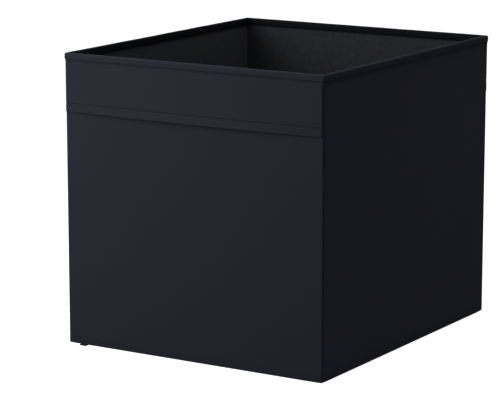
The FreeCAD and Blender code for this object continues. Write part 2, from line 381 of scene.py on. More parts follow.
def fastenerMaterial(name, values):
    # rows of little hooks, or a mat of loops, with painted shade between the tufts
    material, tree, place = startMaterial(name)
    tufts = cells(tree, place, values["tuftsPerMetre"], values["disorder"])
    hair = blotches(tree, stretched(tree, place, values["hairScale"]), detail=3.0)
    base = blendColours(tree, hair, values["dark"], values["light"])
    # painted shade: the colour darkens towards the gap colour away from the tuft centres, where the height
    # drops
    colour = blendColours(tree, calc(tree, "MINIMUM", tufts, 1.0), base, values["gap"])
    height = calc(tree, "SUBTRACT", times(tree, hair, 0.5), tufts)
    return endMaterial(material, values, colour, height)


# each gap colour is painted shade for the hollows of the weave, dents, ribs and tufts
outerCloth = weaveMaterial("outerCloth", {
    "dark": (0.0144, 0.0145, 0.0275), "light": (0.0166, 0.0167, 0.0314), "yarn": (0.0203, 0.0204, 0.0386),
    "gap": (0.0064, 0.0064, 0.0127), "gapShade": 0.35, "threadsPerMetre": 1900, "yarnScale": (1500, 60),
    "yarnShare": 0.5, "slub": 0.5, "patchScale": 14.0, "roughness": 0.74, "roughSpread": 0.08,
    "gloss": 0.22, "sheen": 0.12, "sheenRoughness": 0.4, "sheenTint": (0.75, 0.77, 0.95),
    "bump": 0.4, "bumpDepth": 0.00012})
liningCloth = feltMaterial("liningCloth", {
    "dark": (0.0180, 0.0196, 0.0229), "light": (0.0380, 0.0389, 0.0464), "yarn": (0.0411, 0.0412, 0.0495),
    "gap": (0.017, 0.017, 0.020), "gapShade": 0.5, "patchScale": 185.0, "patchRange": (0.36, 0.66),
    "wideScale": 46.25, "wideShare": 0.35, "dotsPerMetre": 800, "dotSlope": 2.6, "disorder": 0.25,
    "fibreScale": (900, 1400), "fibreHeight": 0.6, "yarnShare": 0.55, "roughness": 0.9, "gloss": 0.12,
    "sheen": 0.08, "sheenRoughness": 0.6, "sheenTint": (0.9, 0.9, 1.0), "bump": 0.35, "bumpDepth": 0.0002})
bindingTape = ribMaterial("bindingTape", {
    "dark": (0.0246, 0.0252, 0.0398), "light": (0.0280, 0.0287, 0.0447), "gap": (0.0143, 0.0147, 0.0234),
    "ribs": (900, 1500), "patchScale": 40.0, "roughness": 0.8, "gloss": 0.12, "sheen": 0.05,
    "sheenRoughness": 0.35, "sheenTint": (0.8, 0.82, 1.0), "bump": 0.35, "bumpDepth": 0.00012})
innerTape = ribMaterial("innerTape", {
    "dark": (0.0063, 0.0068, 0.0102), "light": (0.0081, 0.0087, 0.0130), "gap": (0.0034, 0.0036, 0.0060),
    "ribs": (900, 1500), "patchScale": 60.0, "roughness": 0.75, "gloss": 0.07, "sheen": 0.03,
    "sheenRoughness": 0.4, "sheenTint": (0.8, 0.82, 1.0), "bump": 0.3, "bumpDepth": 0.00012})
sewingThread = ribMaterial("sewingThread", {
    "dark": (0.003, 0.003, 0.0045), "light": (0.005, 0.005, 0.0075), "gap": (0.0015, 0.0015, 0.002),
    "ribs": (3, 5), "patchScale": 6.0, "roughness": 0.7, "gloss": 0.12, "bump": 0.5, "bumpDepth": 0.00008})
wallBoard = boardMaterial("wallBoard", {
    "dark": (0.16, 0.15, 0.135), "light": (0.25, 0.235, 0.21), "yarn": (0.11, 0.10, 0.09),
    "fibreScale": (300, 2400), "speckScale": 700.0, "speckShare": 0.3, "flutesPerMetre": 200,
    "fluteDepth": 0.0, "roughness": 0.92, "gloss": 0.2, "bump": 0.3, "bumpDepth": 0.0002})
bottomBoard = boardMaterial("bottomBoard", {
    "dark": (0.22, 0.145, 0.08), "light": (0.33, 0.22, 0.125), "yarn": (0.15, 0.1, 0.06),
    "fibreScale": (300, 2400), "speckScale": 700.0, "speckShare": 0.3, "flutesPerMetre": 160,
    "fluteDepth": 0.8, "roughness": 0.9, "gloss": 0.2, "bump": 0.3, "bumpDepth": 0.0003})
hookTape = fastenerMaterial("hookTape", {
    "dark": (0.006, 0.006, 0.007), "light": (0.014, 0.014, 0.016), "gap": (0.003, 0.003, 0.0035),
    "tuftsPerMetre": 900, "disorder": 0.1, "hairScale": (2600, 2600), "roughness": 0.6, "gloss": 0.25,
    "bump": 0.8, "bumpDepth": 0.0005})
loopTape = fastenerMaterial("loopTape", {
    "dark": (0.008, 0.008, 0.009), "light": (0.018, 0.018, 0.02), "gap": (0.004, 0.004, 0.005),
    "tuftsPerMetre": 1200, "disorder": 1.0, "hairScale": (2600, 2600), "roughness": 0.95, "gloss": 0.1,
    "sheen": 0.4, "sheenRoughness": 0.6, "sheenTint": (0.9, 0.9, 1), "bump": 0.8, "bumpDepth": 0.0004})
print("materials ready")


# Creases: extra cuts across these few millimetres where the side walls and the bottom would bend; the pieces
# themselves are not bent

creaseSpec = {"reach": 2.6, "cuts": [-3.6, -2.6, -1.8, -0.9, 0, 0.9, 1.8, 2.6, 3.6], "bottomReach": 3.6,
              "level": 100}


def bendSide(piece):
    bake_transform(piece)


def bendBottom(piece):
    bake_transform(piece)


def halves(side, part):
    return [side + "_front_" + part, side + "_rear_" + part]


def halvesBox(side, part, longer=0):
    # the box round both halves, made longer at both ends
    low, high = nodeBox(*halves(side, part))
    low.y -= longer
    high.y += longer
    return low, high


# Outer covers

coverSpec = {"cloth": 0.5, "pitch": 8, "margin": 3, "corner": 1.3, "segments": 6, "endCuts": (2.5, 4.5),
             "foot": 1.3, "footSegments": 4, "sideEnd": 0.2, "sideSegments": 2, "sideMargin": 0.4,
             "sideCuts": (0.4, 2.5, 4.5), "closeUp": 0.25, "slack": 0.05,
             "groove": (1.35, 1.5, 2.3, 2.45), "grooveDepth": 0.45, "grooveFrom": 5,
             "wave": 0.22, "waveSize": 75, "lift": 0.4, "liftReach": 8, "liftHeight": 9,
             "pinchLevels": (320.6, 321.6, 323.2, 324.4), "pinch": 0.4,
             "footProfile": {2.8: 0.0, 2.2: 0.12, 1.7: 0.0},
             "endFlat": (0.338, 0.333), "sideFlat": (0.376, 0.332)}


def liftCorners(bm, axis, places):
    # the lower corners are drawn up a little where three seams meet
    index = "xyz".index(axis)
    for vert in bm.verts:
        near = max(0.0, *(1 - abs(vert.co[index] - place) / coverSpec["liftReach"] for place in places))
        vert.co.z += coverSpec["lift"] * near ** 2 * max(0.0, 1 - vert.co.z / coverSpec["liftHeight"])


def footSeam(bm, axis, out, face):
    # the wall is sewn to the bottom just above its lower edge
    index = "xyz".index(axis)
    cutAt(bm, "z", coverSpec["footProfile"])
    for vert in bm.verts:
        for level, depth in coverSpec["footProfile"].items():
            if abs(vert.co[index] - face) < touch and abs(vert.co.z - level) < coverSpec["slack"]:
                vert.co[index] -= out * depth
                break


def pinchTop(bm, axis, out, face):
    # the binding's stitches pull the cover in
    index = "xyz".index(axis)
    levels = coverSpec["pinchLevels"]
    cutAt(bm, "z", levels)
    for vert in bm.verts:
        if abs(vert.co[index] - face) < touch and levels[0] < vert.co.z < levels[-1]:
            vert.co[index] -= out * coverSpec["pinch"]


def cornerGroove(bm, low, high, out, face):
    # the seam lies in a groove beside each upright corner
    groove = [face - out * place for place in coverSpec["groove"]]
    cutAt(bm, "y", groove)
    shallow, deep = sorted(groove[1:3])
    for vert in bm.verts:
        inside = shallow - coverSpec["slack"] < vert.co.y < deep + coverSpec["slack"]
        for edgeX in (low.x, high.x):
            if inside and abs(vert.co.x - edgeX) < touch and vert.co.z > coverSpec["grooveFrom"]:
                vert.co.x -= math.copysign(coverSpec["grooveDepth"], edgeX)


for end, out in ends.items():
    low, high = nodeBox(end + "_cover")
    face = outward(low.y, high.y, out)[0]
    bm = newBox(low, high)
    dropFaces(bm, "y", -out)
    dropFaces(bm, "z", 1)
    roundEdges(bm, outerLines(bm, low, high, face, low.z), coverSpec["corner"], coverSpec["segments"])
    cutAt(bm, "x", steps(low.x, high.x, coverSpec["pitch"], coverSpec["margin"]))
    cutAt(bm, "x", insetFrom(low.x, high.x, coverSpec["endCuts"]))
    cutAt(bm, "z", steps(low.z + coverSpec["margin"], high.z, coverSpec["pitch"]))
    cornerGroove(bm, low, high, out, face)
    footSeam(bm, "y", out, face)
    liftCorners(bm, "x", (low.x, high.x))
    pinchTop(bm, "y", out, face)
    ripple(bm, "y", coverSpec["wave"], coverSpec["waveSize"], 1 + out, face)
    cover = makePiece(end + "Cover", bm, outerCloth, coverSpec["cloth"])
    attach(cover, end + "_wall")
    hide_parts(end + "_cover")

for side, out in sides.items():
    low, high = halvesBox(side, "cover", coverSpec["closeUp"])
    face = outward(low.x, high.x, out)[0]
    bm = newBox(low, high)
    dropFaces(bm, "x", -out)
    dropFaces(bm, "z", 1)
    roundEdges(bm, edgesAt(bm, x=face, z=low.z), coverSpec["foot"], coverSpec["footSegments"])
    lines = edgesAt(bm, x=face, y=low.y) + edgesAt(bm, x=face, y=high.y)
    roundEdges(bm, lines, coverSpec["sideEnd"], coverSpec["sideSegments"])
    regular = steps(low.y, high.y, coverSpec["pitch"], coverSpec["sideMargin"])
    cutAt(bm, "y", regular + creaseSpec["cuts"])
    cutAt(bm, "y", insetFrom(low.y, high.y, coverSpec["sideCuts"]))
    cutAt(bm, "z", steps(low.z + coverSpec["margin"], high.z, coverSpec["pitch"]))
    footSeam(bm, "x", out, face)
    liftCorners(bm, "y", (low.y, high.y))
    pinchTop(bm, "x", out, face)
    ripple(bm, "x", coverSpec["wave"], coverSpec["waveSize"], 5 + out, face)
    cover = makePiece(side + "Cover", bm, outerCloth, coverSpec["cloth"])
    bendSide(cover)
    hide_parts(*halves(side, "cover"))
print("covers ready")


# Stiff boards inside the walls, short of the cloth's rounded corners

boardSpec = {"corner": 2.2, "rim": 0.25, "rimSegments": 2, "pitch": 40, "margin": 3, "inset": 1.6}


def boardPiece(node, body, thin, material):
    low, high = nodeBox(node)
    flatAxes = [axis for axis in "xyz" if axis != thin]
    for axis in flatAxes:
        low["xyz".index(axis)] += boardSpec["inset"]
        high["xyz".index(axis)] -= boardSpec["inset"]
    bm = newBox(low, high)
    thinIndex = "xyz".index(thin)
    roundEdges(bm, edgesAlong(bm, thinIndex), boardSpec["corner"])
    rimRadius = boardSpec["rim"] * (high[thinIndex] - low[thinIndex])
    roundEdges(bm, sharpEdges(bm, edgeSpec["rim"]), rimRadius, boardSpec["rimSegments"])
    for axis in flatAxes:
        first, last = [corner["xyz".index(axis)] for corner in (low, high)]
        cutAt(bm, axis, steps(first, last, boardSpec["pitch"], boardSpec["margin"]))
    board = makePiece(node, bm, material)
    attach(board, body)
    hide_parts(node)


for end in ends:
    boardPiece(end + "_board", end + "_wall", "y", wallBoard)
    boardPiece("bottom_" + end + "_board", "bottom_" + end, "z", bottomBoard)
    for side in sides:
        boardPiece(f"{side}_{end}_board", f"{side}_{end}_half", "x", wallBoard)
print("boards ready")


# Tapes behind the seams: they close the corners

jointSpec = {"fixed": 1.8, "moving": 5.0, "step": 0.5, "cuts": 13, "bend": (-0.6, 2.6), "reach": 3.6,
             "behind": (-0.85, -0.6), "under": (-0.05, 0.2), "hingeGap": 0.3, "foot": 3,
             "wallLap": 0.4, "bindingLap": (0.2, 7.8), "top": (7.6, 7.85),
             "bottomInset": 1.0, "bottomFixed": 1.1, "bottomDepth": (0.45, 0.2)}


def tapeSpan(seamY, way, fixed, followed):
    # from the wall to past the seam, and less far where no joint follows
    inward = jointSpec["moving"] if followed else jointSpec["reach"]
    return sorted((seamY + way * fixed, seamY - way * inward))


def jointTape(name, boxes, pivot, upAxis, fixed, moving, material):
    # where a moving body follows, the tape is only baked in place; otherwise the part past the pivot turns
    # round it and the tape lies on the fixed body
    bm = bmesh.new()
    for low, high in boxes:
        newBox(low, high, bm)
    way = math.copysign(1, pivot.y)
    offsets = [jointSpec["fixed"] - jointSpec["step"] * i for i in range(1, jointSpec["cuts"] + 1)]
    cutAt(bm, "y", [pivot.y + way * offset for offset in offsets])
    for vert in bm.verts:
        inward = way * (pivot.y - vert.co.y)
        if moving is None and inward > 0:
            turn = inward / jointSpec["reach"]
            arm = vert.co[upAxis] - pivot[upAxis]
            vert.co[upAxis] = pivot[upAxis] + arm * math.cos(turn)
            vert.co.y = pivot.y - way * abs(arm) * math.sin(turn)
    tape = makePiece(name, bm, material)
    if moving:
        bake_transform(tape)
    else:
        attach(tape, fixed)


for end, way in ends.items():
    low, high = nodeBox(end + "_cover")
    seamY = outward(low.y, high.y, way)[1]
    bindingFoot = nodeBox(end + "_binding")[0].z
    for side, out in sides.items():
        hingeX = out * halvesBox("right", "binding")[0].x
        coverX = out * halvesBox("right", "cover")[1].x
        behind = [coverX + out * place for place in jointSpec["behind"]]
        under = [coverX + out * place for place in jointSpec["under"]]
        top = (hingeX + out * jointSpec["hingeGap"], under[1])
        layers = ((behind, (jointSpec["foot"], bindingFoot + jointSpec["wallLap"])),
                  (under, [bindingFoot + place for place in jointSpec["bindingLap"]]),
                  (top, [bindingFoot + place for place in jointSpec["top"]]))
        followed = (side, end) != ("right", "rear")
        ys = tapeSpan(seamY, way, jointSpec["fixed"], followed)
        boxes = [((min(xs), ys[0], zs[0]), (max(xs), ys[1], zs[1])) for xs, zs in layers]
        jointTape(f"{side}_{end}_joint_tape", boxes, Vector((hingeX, seamY, 0)), 0, end + "_wall",
                  f"{side}_{end}_half" if followed else None, bindingTape)
    followed = end == "front"
    ys = tapeSpan(seamY, way, jointSpec["bottomFixed"], followed)
    low, high = nodeBox("bottom_front_lining")
    lower, upper = [high.z - depth for depth in jointSpec["bottomDepth"]]
    first, last = low.x + jointSpec["bottomInset"], high.x - jointSpec["bottomInset"]
    boxes = [((first, ys[0], lower), (last, ys[1], upper))]
    jointTape(f"bottom_{end}_joint_tape", boxes, Vector((0, seamY, 0)), 2, end + "_wall",
              "bottom_front" if followed else None, liningCloth)
print("joint tapes ready")


# Linings

liningSpec = {"pitch": 8, "wave": 0.28, "waveSize": 42, "seam": 1.4, "tuck": 0.4, "slack": 0.1}

for end, out in ends.items():
    low, high = nodeBox(end + "_lining")
    bm = newBox(low, high)
    cutAt(bm, "x", steps(low.x, high.x, liningSpec["pitch"]))
    cutAt(bm, "z", steps(low.z, high.z, liningSpec["pitch"]))
    ripple(bm, "y", liningSpec["wave"], liningSpec["waveSize"], 9 + out)
    lining = makePiece(end + "Lining", bm, liningCloth)
    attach(lining, end + "_wall")
    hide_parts(end + "_lining")

for side, out in sides.items():
    low, high = halvesBox(side, "lining", liningSpec["seam"])
    bm = newBox(low, high)
    cutAt(bm, "y", steps(low.y, high.y, liningSpec["pitch"]) + creaseSpec["cuts"])
    cutAt(bm, "y", insetFrom(low.y, high.y, [liningSpec["seam"]]))
    cutAt(bm, "z", steps(low.z, high.z, liningSpec["pitch"]))
    ripple(bm, "x", liningSpec["wave"], liningSpec["waveSize"], 13 + out)
    inner = outward(low.x, high.x, out)[1]
    for vert in bm.verts:  # both upright edges are tucked in behind the end linings
        edgeGap = min(vert.co.y - low.y, high.y - vert.co.y)
        if abs(vert.co.x - inner) < liningSpec["slack"] and edgeGap < liningSpec["slack"]:
            vert.co.x += out * liningSpec["tuck"]
    lining = makePiece(side + "Lining", bm, liningCloth)
    bendSide(lining)
    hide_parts(*halves(side, "lining"))
print("linings ready")


# Binding tape, folded over the top edge

bindingSpec = {"tape": 0.9, "round": 2.1, "segments": 5, "pitch": 5, "margin": 3, "sideMargin": 1,
               "row": 322.3, "leg": 2.2, "insideFrom": 0.6, "cornerSlack": 0.1,
               "wave": 0.16, "waveSize": 26, "waveDrop": 0.6, "waveFrom": 326, "seedStep": 11.0,
               "profile": {321.0: -0.5, 321.5: -0.42, 322.0: -0.5, 322.3: -1.15, 322.6: -0.35,
                           323.1: -0.12, 324.2: -0.02, 325.5: -0.02, 326.8: -0.02},
               "endFlat": (0.023, 0.344), "sideFlat": (0.023, 0.371)}


def shapeBinding(bm, low, high, across, seed):
    # the stitched row pulls the tape in, and the fold above it stands full
    for vert in bm.verts:
        for level, push in bindingSpec["profile"].items():
            if abs(vert.co.z - level) < touch:
                for axis in across:
                    if abs(vert.co[axis] - low[axis]) < bindingSpec["leg"]:
                        vert.co[axis] -= push
                    elif abs(vert.co[axis] - high[axis]) < bindingSpec["leg"]:
                        vert.co[axis] += push
        if vert.co.z > bindingSpec["waveFrom"]:
            spot = Vector((vert.co.x, vert.co.y, seed * bindingSpec["seedStep"]))
            wave = noise.noise(spot / bindingSpec["waveSize"]) - bindingSpec["waveDrop"]
            vert.co.z += bindingSpec["wave"] * wave


def darkenInside(bm, across, out, middle, reach=math.inf):
    # the leg inside the box is the smooth dark side of the tape
    for face in bm.faces:
        centre = face.calc_center_median()
        if (middle - centre[across]) * out > bindingSpec["insideFrom"] and abs(centre.x) < reach:
            face.material_index = 1


def roundBinding(bm, edges):
    roundEdges(bm, edges, bindingSpec["round"], bindingSpec["segments"])


def bindingPiece(name, bm):
    binding = makePiece(name, bm, bindingTape, bindingSpec["tape"])
    binding.data.materials.append(innerTape)
    return binding


for end, out in ends.items():
    low, high = nodeBox(end + "_binding")
    bm = newBox(low, high)
    dropFaces(bm, "z", -1)
    face, back = outward(low.y, high.y, out)
    roundBinding(bm, outerLines(bm, low, high, face, high.z))
    innerX = halvesBox("right", "binding")[0].x
    reach = innerX + bindingSpec["cornerSlack"]
    cutAt(bm, "x", (-innerX, innerX))
    backLines = edgesAt(bm, y=back, z=high.z)
    freeLines = [edge for edge in backLines if all(abs(vert.co.x) < reach for vert in edge.verts)]
    roundBinding(bm, freeLines)
    cutAt(bm, "x", steps(low.x, high.x, bindingSpec["pitch"], bindingSpec["margin"]))
    cutAt(bm, "z", bindingSpec["profile"])
    shapeBinding(bm, low, high, (0, 1), 3 + out)
    darkenInside(bm, 1, out, (low.y + high.y) / 2, reach)
    binding = bindingPiece(end + "Binding", bm)
    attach(binding, end + "_wall")
    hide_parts(end + "_binding")

for side, out in sides.items():
    low, high = halvesBox(side, "binding", coverSpec["closeUp"])
    bm = newBox(low, high)
    dropFaces(bm, "z", -1)
    for edgeX in (low.x, high.x):
        roundBinding(bm, edgesAt(bm, x=edgeX, z=high.z))
    regular = steps(low.y, high.y, bindingSpec["pitch"], bindingSpec["sideMargin"])
    cutAt(bm, "y", regular + creaseSpec["cuts"])
    cutAt(bm, "z", bindingSpec["profile"])
    shapeBinding(bm, low, high, (0,), 7 + out)
    darkenInside(bm, 0, out, (low.x + high.x) / 2)
    binding = bindingPiece(side + "Binding", bm)
    bendSide(binding)
    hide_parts(*halves(side, "binding"))
print("bindings ready")


# Sewn rows, each stitch a short round of thread half sunk in the cloth

threadSpec = {"pitch": 3.6, "length": 3.2, "width": 0.72, "height": 0.45, "proud": 0.02, "level": 322.25,
              "endInset": 2, "backInset": 6, "sideInset": 0.5, "rise": 0.1,
              "cornerStep": 7.0, "cornerSunk": 0.12, "cornerFrom": 4, "cornerTo": 9,
              "footLevel": 0.64, "footSunk": 0.3, "footInset": 1.5, "sideFootInset": 3}
rowInset = -bindingSpec["profile"][bindingSpec["row"]] - threadSpec["rise"]


def stitch(bm, place, along, out, length):
    made = bmesh.ops.create_uvsphere(bm, u_segments=6, v_segments=4, radius=0.5, calc_uvs=True)["verts"]
    across = along.cross(out)
    turn = Matrix((across * threadSpec["width"], out * threadSpec["height"], along * length))
    matrix = Matrix.Translation(place) @ turn.transposed().to_4x4()
    bmesh.ops.transform(bm, matrix=matrix, verts=made)


def newThread():
    bm = bmesh.new()
    bm.loops.layers.uv.new("cloth")
    return bm


def stitchRow(bm, start, stop, out):
    count = max(1, round((stop - start).length / threadSpec["pitch"]))
    along = (stop - start).normalized()
    for i in range(count):
        place = start.lerp(stop, (i + 0.5) / count) + out * threadSpec["proud"]
        stitch(bm, place, along, out, threadSpec["length"])


def threadPiece(name, bm):
    return makePiece(name, bm, sewingThread, uv=False)


def sewnRows(name, rows):
    bm = newThread()
    for start, stop, out in rows:
        stitchRow(bm, Vector(start), Vector(stop), Vector(out))
    return threadPiece(name, bm)


for end, out in ends.items():
    low, high = nodeBox(end + "_binding")
    face, back = outward(low.y, high.y, out)
    z = threadSpec["level"]
    rows = []
    for inset, rowY, way in ((threadSpec["endInset"], face - out * rowInset, out),
                             (threadSpec["backInset"], back + out * rowInset, -out)):
        rows.append(((low.x + inset, rowY, z), (high.x - inset, rowY, z), (0, way, 0)))
    for edgeX in (low.x, high.x):
        way = math.copysign(1, edgeX)
        rowX = edgeX - way * rowInset
        rows.append(((rowX, back, z), (rowX, face - out * threadSpec["endInset"], z), (way, 0, 0)))
    thread = sewnRows(end + "BindingThread", rows)
    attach(thread, end + "_wall")
    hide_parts(end + "_binding_thread")
    low, high = nodeBox(end + "_cover")
    rowY = outward(low.y, high.y, out)[0] - out * threadSpec["footSunk"]
    z = threadSpec["footLevel"]
    first, last = low.x + threadSpec["footInset"], high.x - threadSpec["footInset"]
    thread = sewnRows(end + "FootThread", [((first, rowY, z), (last, rowY, z), (0, out, 0))])
    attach(thread, end + "_wall")

for side, out in sides.items():
    low, high = halvesBox(side, "binding")
    face, back = outward(low.x, high.x, out)
    z = threadSpec["level"]
    first, last = low.y + threadSpec["sideInset"], high.y - threadSpec["sideInset"]
    rowPlaces = ((face - out * rowInset, out), (back + out * rowInset, -out))
    rows = [((rowX, first, z), (rowX, last, z), (way, 0, 0)) for rowX, way in rowPlaces]
    thread = sewnRows(side + "BindingThread", rows)
    bendSide(thread)
    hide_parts(*halves(side, "binding_thread"))
    low, high = halvesBox(side, "cover")
    face = outward(low.x, high.x, out)[0]
    rowX = face - out * threadSpec["footSunk"]
    z = threadSpec["footLevel"]
    first, last = low.y + threadSpec["sideFootInset"], high.y - threadSpec["sideFootInset"]
    thread = sewnRows(side + "FootThread", [((rowX, first, z), (rowX, last, z), (out, 0, 0))])
    bendSide(thread)
    rowX = face - out * threadSpec["cornerSunk"]
    first, last = low.z + threadSpec["cornerFrom"], high.z - threadSpec["cornerTo"]
    for end, way in ends.items():  # the row beside each upright corner
        rowY = way * (nodeBox("rear_cover")[1].y - threadSpec["cornerStep"])
        rows = [((rowX, rowY, first), (rowX, rowY, last), (out, 0, 0))]
        thread = sewnRows(f"{side}_{end}_corner_thread", rows)
        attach(thread, f"{side}_{end}_half")
print("sewn rows ready")


# Handle bands: the free edge bows out in the middle and hangs a little lower there

handleSpec = {"top": 320.7, "foot": 264.5, "seam": 274.2, "closeIn": 0.3, "band": 1.0, "outerFrom": 0.8,
              "seamStand": 1.7, "standPower": 1.5, "footStand": 2.7,
              "footSag": 0.2, "sagPower": 3, "sagMost": 1.2,
              "hem": 0.22, "hemBack": 0.1, "hemFrom": 0.4, "hemRound": 0.42,
              "ditch": 0.7, "ditchBack": 0.15, "stitchLength": 2.4, "stitchEnd": 2.5, "pitch": 3,
              "pucker": 0.22, "puckerSize": 5.5, "puckerReach": 7, "puckerRow": 4.0, "puckerLevel": 0.08,
              "endRound": 2.4, "endDepth": 0.85, "endShares": (1.0, 0.8, 0.57, 0.33, 0.13),
              "levels": (265.4, 266.6, 268.5, 270.5, 272.4, 273.7, 274.2, 274.7, 276.2, 279, 284,
                         290, 297, 305, 313, 318),
              "bendEnd": 55, "bendLevel": 300, "flat": (0.166, 0.057)}


def bandOut(x, z, halfWidth):
    # how far the band stands off its flat place, and how far it hangs down
    seam = handleSpec["seam"]
    slack = max(0.0, 1 - (abs(x) / halfWidth) ** 2)
    drop = max(0.0, (handleSpec["top"] - z) / (handleSpec["top"] - seam))
    stand = handleSpec["seamStand"] * slack * min(1.0, drop) ** handleSpec["standPower"]
    if z < seam:
        share = (seam - z) / (seam - handleSpec["foot"])
        stand += share * (handleSpec["footStand"] - handleSpec["seamStand"]) * slack
    sag = handleSpec["footSag"] * slack * min(handleSpec["sagMost"], drop) ** handleSpec["sagPower"]
    return stand, sag


def shapeBand(bm, wallFace, halfWidth, out):
    endRound = handleSpec["endRound"]
    for vert in bm.verts:
        x, z = vert.co.x, vert.co.z
        outer = abs(vert.co.y - wallFace) > handleSpec["outerFrom"]
        belowSeam = handleSpec["seam"] - z
        if belowSeam > handleSpec["hemFrom"]:
            vert.co.y += out * (handleSpec["hem"] if outer else -handleSpec["hemBack"])
        elif abs(belowSeam) < touch:
            vert.co.y += out * (handleSpec["ditchBack"] if not outer else -handleSpec["ditch"])
        stand, sag = bandOut(x, z, halfWidth)
        share = max(0.0, 1 - abs(belowSeam) / handleSpec["puckerReach"])
        rowSpot = (out * handleSpec["puckerRow"], z * handleSpec["puckerLevel"])
        wave = noise.noise(Vector((x / handleSpec["puckerSize"], *rowSpot)))
        pucker = handleSpec["pucker"] * share * wave
        vert.co.y += out * (stand + pucker)
        vert.co.z -= sag
        over = max(0.0, abs(x) - (halfWidth - endRound)) / endRound
        fall = 1 - math.sqrt(max(0.0, 1 - over * over))
        vert.co.y -= out * endRound * handleSpec["endDepth"] * fall


for end, out in ends.items():
    low, high = nodeBox(end + "_cover")
    wallFace = outward(low.y, high.y, out)[0]
    halfWidth = high.x
    nearFace = wallFace + out * handleSpec["closeIn"]
    farFace = nearFace + out * handleSpec["band"]
    foot, top = handleSpec["foot"], handleSpec["top"]
    for side, way in sides.items():
        bm = newBox((min(0, way * halfWidth), min(nearFace, farFace), foot),
                    (max(0, way * halfWidth), max(nearFace, farFace), top))
        lines = edgesAt(bm, y=nearFace, z=foot) + edgesAt(bm, y=farFace, z=foot)
        roundEdges(bm, lines, handleSpec["hemRound"])
        regular = steps(0, halfWidth - handleSpec["endRound"], handleSpec["pitch"])
        rounded = [halfWidth - share * handleSpec["endRound"] for share in handleSpec["endShares"]]
        cutAt(bm, "x", [way * place for place in regular + rounded])
        cutAt(bm, "z", handleSpec["levels"])
        shapeBand(bm, wallFace, halfWidth, out)
        band = makePiece(f"{end}_handle_{side}", bm, outerCloth)
        bm = newThread()
        rowLength = halfWidth - handleSpec["stitchEnd"]
        count = round(rowLength / threadSpec["pitch"])
        for i in range(count):
            x = way * rowLength * (i + 0.5) / count
            stand, sag = bandOut(x, handleSpec["seam"], halfWidth)
            y = farFace + out * (stand - handleSpec["ditch"] + threadSpec["proud"])
            spot = Vector((x, y, handleSpec["seam"] - sag))
            stitch(bm, spot, axes["x"], axes["y"] * out, handleSpec["stitchLength"])
        thread = threadPiece(f"{end}_handle_thread_{side}", bm)
        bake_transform(band)
        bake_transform(thread)
        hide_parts(end + "_handle")
        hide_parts(end + "_handle_thread")
print("handles ready")


# Bottom: cover below, lining above, with extra cuts at mid depth where they would bend

bottomSpec = {"round": 1.6, "cloth": 0.5, "pitch": 10, "edge": 3, "wave": 0.15, "waveSize": 50,
              "margin": (151.0, 161.9), "marginLevels": (0.05, 0.45),
              "flat": (0.318, 0.379), "marginFlat": (0.0104, 0.371)}

low, high = halvesBox("bottom", "cover", coverSpec["closeUp"])
bm = newBox(low, high)
dropFaces(bm, "z", 1)
roundEdges(bm, edgesAt(bm, x=low.x, z=low.z) + edgesAt(bm, x=high.x, z=low.z), bottomSpec["round"])
cutAt(bm, "x", steps(low.x, high.x, bottomSpec["pitch"], bottomSpec["edge"]))
cutAt(bm, "y", steps(low.y, high.y, bottomSpec["pitch"]) + creaseSpec["cuts"])
bottomCover = makePiece("bottomCover", bm, outerCloth, bottomSpec["cloth"])
bendBottom(bottomCover)
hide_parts(*halves("bottom", "cover"))

lower, upper = bottomSpec["marginLevels"]
for side, out in sides.items():  # cloth left over beside the board closes the slit along the side wall
    first, last = sorted(out * place for place in bottomSpec["margin"])
    bm = newBox((first, low.y, lower), (last, high.y, upper))
    for face in bm.faces:  # its upper side has the lining's cloth
        if face.normal.z > 0.9:
            face.material_index = 1
    cutAt(bm, "y", steps(low.y, high.y, bottomSpec["pitch"]) + creaseSpec["cuts"])
    margin = makePiece(f"bottom_{side}_margin", bm, outerCloth)
    margin.data.materials.append(liningCloth)
    bendBottom(margin)

low, high = halvesBox("bottom", "lining")
bm = newBox(low, high)
cutAt(bm, "x", steps(low.x, high.x, bottomSpec["pitch"]))
cutAt(bm, "y", steps(low.y, high.y, bottomSpec["pitch"]) + creaseSpec["cuts"])
ripple(bm, "z", bottomSpec["wave"], bottomSpec["waveSize"], 21)
bottomLining = makePiece("bottomLining", bm, liningCloth)
bendBottom(bottomLining)
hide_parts(*halves("bottom", "lining"))


# Flaps at the foot of the side walls, with the fastening tapes below them

lipSpec = {"cloth": 0.8, "fold": 1.0, "pitch": 6, "longPitch": 9.6, "tipEnds": (20.0, 125.3),
           "footEnds": (2.0, 163.8), "flat": (0.036, 0.162), "area": 0.0047}


def taperLip(bm, tip, foot, way):
    # the flap narrows from its foot at the wall to its tip
    (tipFirst, tipLast), (footFirst, footLast) = lipSpec["tipEnds"], lipSpec["footEnds"]
    for vert in bm.verts:
        share = min(1, abs(vert.co.x - foot) / abs(tip - foot))
        along = (abs(vert.co.y) - footFirst) / (footLast - footFirst)
        first = footFirst + (tipFirst - footFirst) * share
        last = footLast + (tipLast - footLast) * share
        vert.co.y = way * (first + (last - first) * along)


